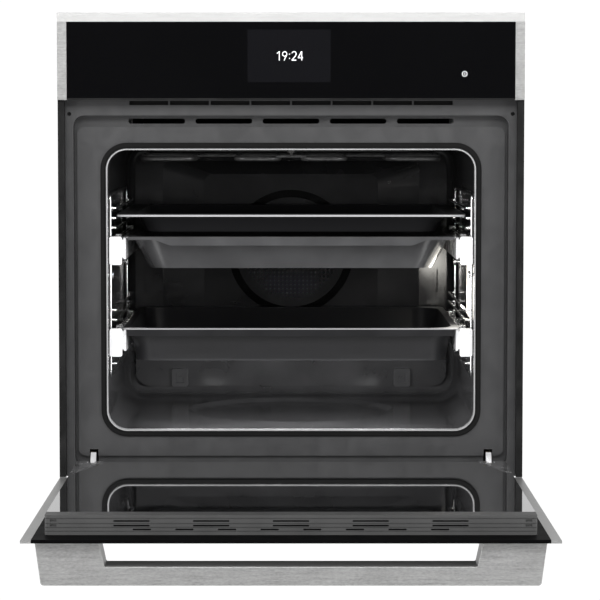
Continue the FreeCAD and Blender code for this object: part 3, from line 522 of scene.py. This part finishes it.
class OVEN_OT_enamel(OvenPiece, bpy.types.Operator):
    """Enamel of the front frame, the cavity and the trays"""
    bl_idname = "oven.enamel"
    bl_label = "Enamel"

    def make(self, colours, sizes, studio):
        front = finish("frame_enamel", satin, 1400.0, colours.frame, 0.1, (0.36, 0.46), (0.12, 0.0001))
        dress(front, "front_frame", "fan_cover_clips")
        cavity = finish("cavity_enamel", enamel, 420.0, colours.enamel, 0.35, (0.13, 0.26), (0.08, 0.0003),
                        coat=0.6, Coat_Roughness=0.12)
        dress(cavity, "cavity_muffle", "fan_cover")
        # painted shade: the grille behind this depth, in the channel round it, is painted near-black
        grille = finish("grille_enamel", enamel, 420.0, colours.enamel, 0.35, (0.13, 0.26), (0.08, 0.0003),
                        zones=(("Y", FAN_SHADE_DEPTH, 1.0, (0.002, 0.002, 0.002)),), coat=0.3, Coat_Roughness=0.12)
        dress(grille, "fan_grille")
        tray = finish("tray_enamel", enamel, 500.0, colours.tray, 0.3, (0.16, 0.28), (0.1, 0.0003),
                      coat=0.5, Coat_Roughness=0.14)
        dress(tray, "universal_tray")
        # painted highlight: the rims of the deep and baking trays are painted in the edge colour near the
        # front, in place of the reflection on them
        dark = finish("dark_tray_enamel", enamel, 500.0, colours.dark_tray, 0.3, (0.3, 0.42), (0.1, 0.0003),
                      zones=(("Z", *BAKING_HIGHLIGHT, colours.edge), ("Z", *DEEP_HIGHLIGHT, colours.edge),
                             ("Y", HIGHLIGHT_DEPTH, 1.0, colours.dark_tray)),
                      Specular_IOR_Level=0.2)
        dress(dark, "deep_tray", "baking_tray")


class OVEN_OT_plating(OvenPiece, bpy.types.Operator):
    """Plated wires, runners, studs, hinges and the ring round the mouth"""
    bl_idname = "oven.plating"
    bl_label = "Plating"

    def make(self, colours, sizes, studio):
        wire = finish("plated_wire", plated, 900.0, colours.plating, 0.05, (0.1, 0.26), (0.05, 0.0001),
                      metallic=1.0)
        dress(wire, "shelf_support_right", "shelf_support_left", "support_studs")
        runner = finish("runner_steel", plated, 500.0, colours.plating, 0.06, (0.16, 0.34), (0.08, 0.0001),
                        metallic=0.8)
        dress(runner, *("%s_%s" % (level, part) for level in ("upper", "lower") for part in
                        ("rail_right", "rail_left", "slides")))
        carriage = finish("carriage_steel", plated, 500.0, colours.plating, 0.03, (0.2, 0.34),
                          (0.06, 0.0001), metallic=0.3)
        dress(carriage, *("%s_carriage_%s" % (level, side) for level in ("upper", "lower")
                          for side in ("right", "left")))
        ring = finish("trim_ring_steel", plated, 300.0, [c * 0.5 for c in colours.plating], 0.08,
                      (0.16, 0.3), (0.06, 0.0001), metallic=0.45)
        dress(ring, "cavity_trim_ring")
        hinge = finish("hinge_steel", plated, 400.0, [c * 0.85 for c in colours.plating], 0.1,
                       (0.14, 0.32), (0.1, 0.0001), metallic=1.0)
        dress(hinge, "hinge_arms", "hinge_channels", "hinge_covers")


class OVEN_OT_casing(OvenPiece, bpy.types.Operator):
    """Zinc coated casing and lamp can, with the blanket round the cavity"""
    bl_idname = "oven.casing"
    bl_label = "Casing"

    def make(self, colours, sizes, studio):
        zinc = finish("zinc_sheet", spangled, 70.0, colours.zinc, 0.16, (0.48, 0.64), (0.08, 0.0001),
                      metallic=0.9)
        dress(zinc, "casing_base", "casing_right", "casing_left", "casing_top", "casing_back",
              "lamp_housing")
        wool = finish("mineral_wool", fibrous, 420.0, (0.55, 0.48, 0.33), 0.35, (0.8, 1.0), (0.8, 0.002))
        dress(wool, "insulation_blanket")


class OVEN_OT_works(OvenPiece, bpy.types.Operator):
    """Heaters, fans, motors and the control module"""
    bl_idname = "oven.works"
    bl_label = "Works"

    def make(self, colours, sizes, studio):
        sheath = finish("heater_sheath", oxidised, 900.0, (0.07, 0.068, 0.066), 0.45, (0.4, 0.7),
                        (0.3, 0.0002), metallic=0.4)
        dress(sheath, "ring_heater", "bottom_heater", "grill_hangers")
        bright = finish("grill_sheath", oxidised, 900.0, (0.1, 0.1, 0.1), 0.3, (0.3, 0.5),
                        (0.2, 0.0002), metallic=0.6)
        dress(bright, "grill_element")
        blades = finish("fan_metal", brushed, 500.0, (0.6, 0.6, 0.61), 0.15, (0.3, 0.5), (0.15, 0.0002),
                        metallic=0.9)
        dress(blades, "convection_fan")
        core = finish("motor_steel", brushed, 1100.0, (0.22, 0.22, 0.23), 0.3, (0.35, 0.6), (0.3, 0.0003),
                      metallic=0.7)
        dress(core, "convection_motor", "cooling_motor")
        board = finish("circuit_board", populated, 130.0, (0.02, 0.09, 0.045), 0.5, (0.3, 0.6),
                       (0.5, 0.0008))
        dress(board, "control_module", "power_sensor")


class OVEN_OT_mouldings(OvenPiece, bpy.types.Operator):
    """Black mouldings, the blower's housing painted black as painted shade behind its slots, the door's cap
    and the seal round the mouth
    """
    bl_idname = "oven.mouldings"
    bl_label = "Mouldings"

    def make(self, colours, sizes, studio):
        plastic = finish("black_moulding_and_shade", moulded, 1300.0, colours.plastic, 0.25, (0.3, 0.5),
                         (0.2, 0.0001), Specular_IOR_Level=0.2)
        # painted shade: the blower's zinc housing gets this black finish so that its slots look dark
        dress(plastic, "side_trims", "panel_carrier", "cooling_housing", "cooling_wheel", "mains_inlet")
        cap = finish("door_cap_moulding", moulded, 1300.0, [c * 7.5 for c in colours.plastic], 0.12,
                     (0.4, 0.55), (0.15, 0.0001), Specular_IOR_Level=0.3)
        dress(cap, "door_top_vent")
        seal = finish("seal_silicone", moulded, 900.0, (0.004, 0.004, 0.004), 0.3, (0.5, 0.7),
                      (0.3, 0.0002), Specular_IOR_Level=0.1)
        dress(seal, "door_seal")


class OVEN_OT_clock(OvenPiece, bpy.types.Operator):
    """Clock figures on the display"""
    bl_idname = "oven.clock"
    bl_label = "Clock"

    def make(self, colours, sizes, studio):
        light = finish("clock_light", satin, 900.0, colours.digits, 0.05, (0.4, 0.5), (0.05, 0.0001),
                       Emission_Color=(*colours.digits, 1.0), Emission_Strength=1.0)
        figures = digit_paths()
        height = sizes.digit_height
        left, low = CLOCK
        shapes = []
        for figure, advance in (("1", 0.66), ("9", 0.7), (":", 0.32), ("2", 0.7), ("4", 0.66)):
            for path in figures[figure]:
                stroke = sizes.digit_stroke * (1.25 if figure == ":" else 1.0)
                points, faces = ribbon(path * height, stroke, 0.14 * MM)
                shapes.append((points + [left, GLASS_FRONT, low], faces))
            left += advance * height
        mesh_piece("clock_figures", *joined(shapes), light, "display_glass")


class OVEN_OT_power_mark(OvenPiece, bpy.types.Operator):
    """Ring and bar of the power mark"""
    bl_idname = "oven.power_mark"
    bl_label = "Power mark"

    def make(self, colours, sizes, studio):
        light = finish("mark_light", satin, 900.0, [c * 0.8 for c in colours.digits], 0.05, (0.4, 0.5),
                       (0.05, 0.0001), Emission_Color=(*colours.digits, 1.0), Emission_Strength=0.75)
        circle = arc(0.0, 0.0, sizes.mark_radius, sizes.mark_radius, 0, 360 - 360 / 40, 40)
        bar = densely([[0.0, -0.35 * sizes.mark_radius], [0.0, 0.4 * sizes.mark_radius]], 2)
        shapes = [ribbon(circle, 0.55 * MM, 0.14 * MM, True), ribbon(bar, 0.55 * MM, 0.14 * MM)]
        points, faces = joined(shapes)
        x, z = POWER_MARK
        mesh_piece("power_mark", points + [x, GLASS_FRONT, z], faces, light, "display_glass")


class OVEN_OT_fastenings(OvenPiece, bpy.types.Operator):
    """Screw heads along the casing's edges"""
    bl_idname = "oven.fastenings"
    bl_label = "Fastenings"

    def make(self, colours, sizes, studio):
        steel = finish("screw_steel", plated, 700.0, [c * 0.7 for c in colours.plating], 0.15, (0.2, 0.4),
                       (0.1, 0.0001), metallic=1.0)
        r = sizes.screw_radius
        h = sizes.screw_height
        profile = [(0, 0), (r, 0), (r, 0.25 * h), (0.93 * r, 0.6 * h), (0.7 * r, 0.9 * h), (0.5 * r, h),
                   (0.42 * r, h), (0.34 * r, 0.45 * h), (0, 0.45 * h)]
        head = revolved(profile, sizes.screw_sides)
        spots = []
        for x in (-0.255, -0.09, 0.09, 0.255):
            spots += [((x, CASE_BACK, z), (0, 1, 0)) for z in (0.02, 0.556)]
            spots += [((x, y, CASE_TOP), (0, 0, 1)) for y in (0.03, 0.52)]
        for z in (0.2, 0.36):
            spots += [((x, CASE_BACK, z), (0, 1, 0)) for x in (-0.262, 0.262)]
        for y in (0.05, 0.28, 0.52):
            for z in (0.03, 0.475):
                spots += [((side * CASE_HALF, y, z), (side, 0, 0)) for side in (-1, 1)]
        mesh_piece("casing_screws", *joined([placed(head, *spot) for spot in spots]), steel, "hinge_steel",
                   smooth=True)


class OVEN_OT_hole_backs(OvenPiece, bpy.types.Operator):
    """Black discs behind the fixing holes and a black strip behind the upper slots of the front frame:
    painted shade, dark stand-ins for the shade seen through them
    """
    bl_idname = "oven.hole_backs"
    bl_label = "Hole shade backs"

    def make(self, colours, sizes, studio):
        # painted shade: black sheets put behind the holes and slots where there is only shade
        black = finish("painted_hole_shade", moulded, 900.0, (0.004, 0.004, 0.004), 0.2, (0.6, 0.8), (0.2, 0.0001),
                       Specular_IOR_Level=0.1)
        disc = revolved([(0, 0), (4.2 * MM, 0), (4.2 * MM, 0.7 * MM), (0, 0.7 * MM)], 32)
        x, z = FIXING_HOLES
        backs = [placed(disc, (side * x, 0.8 * MM, z), (0, -1, 0)) for side in (-1, 1)]
        half, z, width = UPPER_SLOTS
        strip, faces = ribbon(densely([[-half, z], [half, z]], 2), width, 0.6 * MM)
        backs.append((strip + [0, 3.2 * MM, 0], faces))
        mesh_piece("hole_backs", *joined(backs), black, "seal_rubber")


class OVEN_OT_stage(OvenPiece, bpy.types.Operator):
    """Floor, lights and camera of the studio"""
    bl_idname = "oven.stage"
    bl_label = "Studio"

    def make(self, colours, sizes, studio):
        scene = bpy.context.scene
        paint = finish("studio_floor", moulded, 60.0, colours.floor, 0.01, (0.85, 0.95), (0.02, 0.0005))
        disc = revolved([(0, -0.02), (studio.floor_radius, -0.02), (studio.floor_radius, 0), (0, 0)], 96)
        points, faces = disc
        mesh = bpy.data.meshes.new("studio_floor")
        mesh.from_pydata((points - [0, 0, studio.floor_drop]).tolist(), [], faces)
        mesh.materials.append(paint)
        floor = bpy.data.objects.new("studio_floor", mesh)
        scene.collection.objects.link(floor)
        world = bpy.data.worlds.new("studio_world")
        scene.world = world
        world.use_nodes = True
        graph = Graph(world.node_tree)
        sky = next(n for n in world.node_tree.nodes if n.type == "BACKGROUND")
        sky.inputs["Color"].default_value = (1.0, 1.0, 1.0, 1.0)
        seen = graph.add("LightPath").outputs["Is Camera Ray"]
        axes = graph.add("SeparateXYZ")
        graph.feed(axes.inputs[0], graph.add("TexCoord").outputs["Generated"])
        round_light = graph.remap(axes.outputs["Y"], -0.97, -0.86, studio.front_light, studio.ambient)
        graph.feed(sky.inputs["Strength"], graph.blend(seen, round_light, 1.05))
        scene.view_settings.view_transform = "Standard"
        self.area("key_light", (0.0, -2.9, 2.1), (0.0, 0.0, 0.35), (2.6, 1.3), studio.key)
        for side in (-1, 1):
            self.area("side_light_%d" % side, (side * 2.4, -1.8, 0.7), (0.0, 0.0, 0.3), (1.0, 2.0),
                      studio.side)
        soft = self.area("front_fill", (0.0, -3.1, 0.45), (0.0, 0.2, 0.25), (1.4, 0.5), studio.fill)
        low = self.area("low_fill", (0.0, 0.02, 0.122), (0.0, 0.3, 0.0), (0.36, 0.02), studio.low_fill)
        for light in (soft, low):
            light.visible_glossy = False
            light.visible_camera = False
        lamp = bpy.data.lights.new("oven_lamp", "POINT")
        lamp.energy = studio.lamp
        lamp.shadow_soft_size = 0.02
        lamp.color = (1.0, 0.97, 0.9)
        bulb = bpy.data.objects.new("oven_lamp", lamp)
        bulb.location = (0.222, 0.12, 0.232)
        scene.collection.objects.link(bulb)
        lens = bpy.data.cameras.new("camera")
        lens.lens = CAMERA_LENS
        lens.sensor_width = 36.0
        lens.shift_x, lens.shift_y = CAMERA_SHIFT
        lens.clip_end = 50.0
        eye = bpy.data.objects.new("camera", lens)
        eye.location = (0.0, -studio.camera_distance, studio.camera_height)
        eye.rotation_euler = (math.pi / 2 - studio.camera_pitch, 0.0, 0.0)
        scene.collection.objects.link(eye)
        scene.camera = eye

    def area(self, name, where, target, sizes, power):
        """A rectangular soft light aimed at a point."""
        light = bpy.data.lights.new(name, "AREA")
        light.shape = "RECTANGLE"
        light.size, light.size_y = sizes
        light.energy = power
        made = bpy.data.objects.new(name, light)
        made.location = where
        made.rotation_euler = (Vector(target) - Vector(where)).to_track_quat("-Z", "Y").to_euler()
        bpy.context.scene.collection.objects.link(made)
        return made


STEPS = (OVEN_OT_steel, OVEN_OT_glass, OVEN_OT_enamel, OVEN_OT_plating, OVEN_OT_casing, OVEN_OT_works,
         OVEN_OT_mouldings, OVEN_OT_clock, OVEN_OT_power_mark, OVEN_OT_fastenings,
         OVEN_OT_hole_backs, OVEN_OT_stage)


class OVEN_PT_panel(bpy.types.Panel):
    """Lists the steps that finish the oven and their settings"""
    bl_idname = "OVEN_PT_panel"
    bl_label = "Wall Oven"
    bl_space_type = "VIEW_3D"
    bl_region_type = "UI"
    bl_category = "Wall Oven"

    def draw(self, context):
        for step in STEPS:
            self.layout.operator(step.bl_idname, text=step.bl_label)
        for group in settings(context):
            box = self.layout.box()
            for name in group.__annotations__:
                box.prop(group, name)


CLASSES = (OvenColours, OvenSizes, OvenStudio) + STEPS + (OVEN_PT_panel,)


def register():
    for item in CLASSES:
        bpy.utils.register_class(item)
    bpy.types.Scene.oven_colours = PointerProperty(type=OvenColours)
    bpy.types.Scene.oven_sizes = PointerProperty(type=OvenSizes)
    bpy.types.Scene.oven_studio = PointerProperty(type=OvenStudio)


def unregister():
    del bpy.types.Scene.oven_studio
    del bpy.types.Scene.oven_sizes
    del bpy.types.Scene.oven_colours
    for item in reversed(CLASSES):
        bpy.utils.unregister_class(item)


def main():
    register()
    for step in STEPS:
        group, name = step.bl_idname.split(".")
        getattr(getattr(bpy.ops, group), name)()


if __name__ == "__main__":
    main()
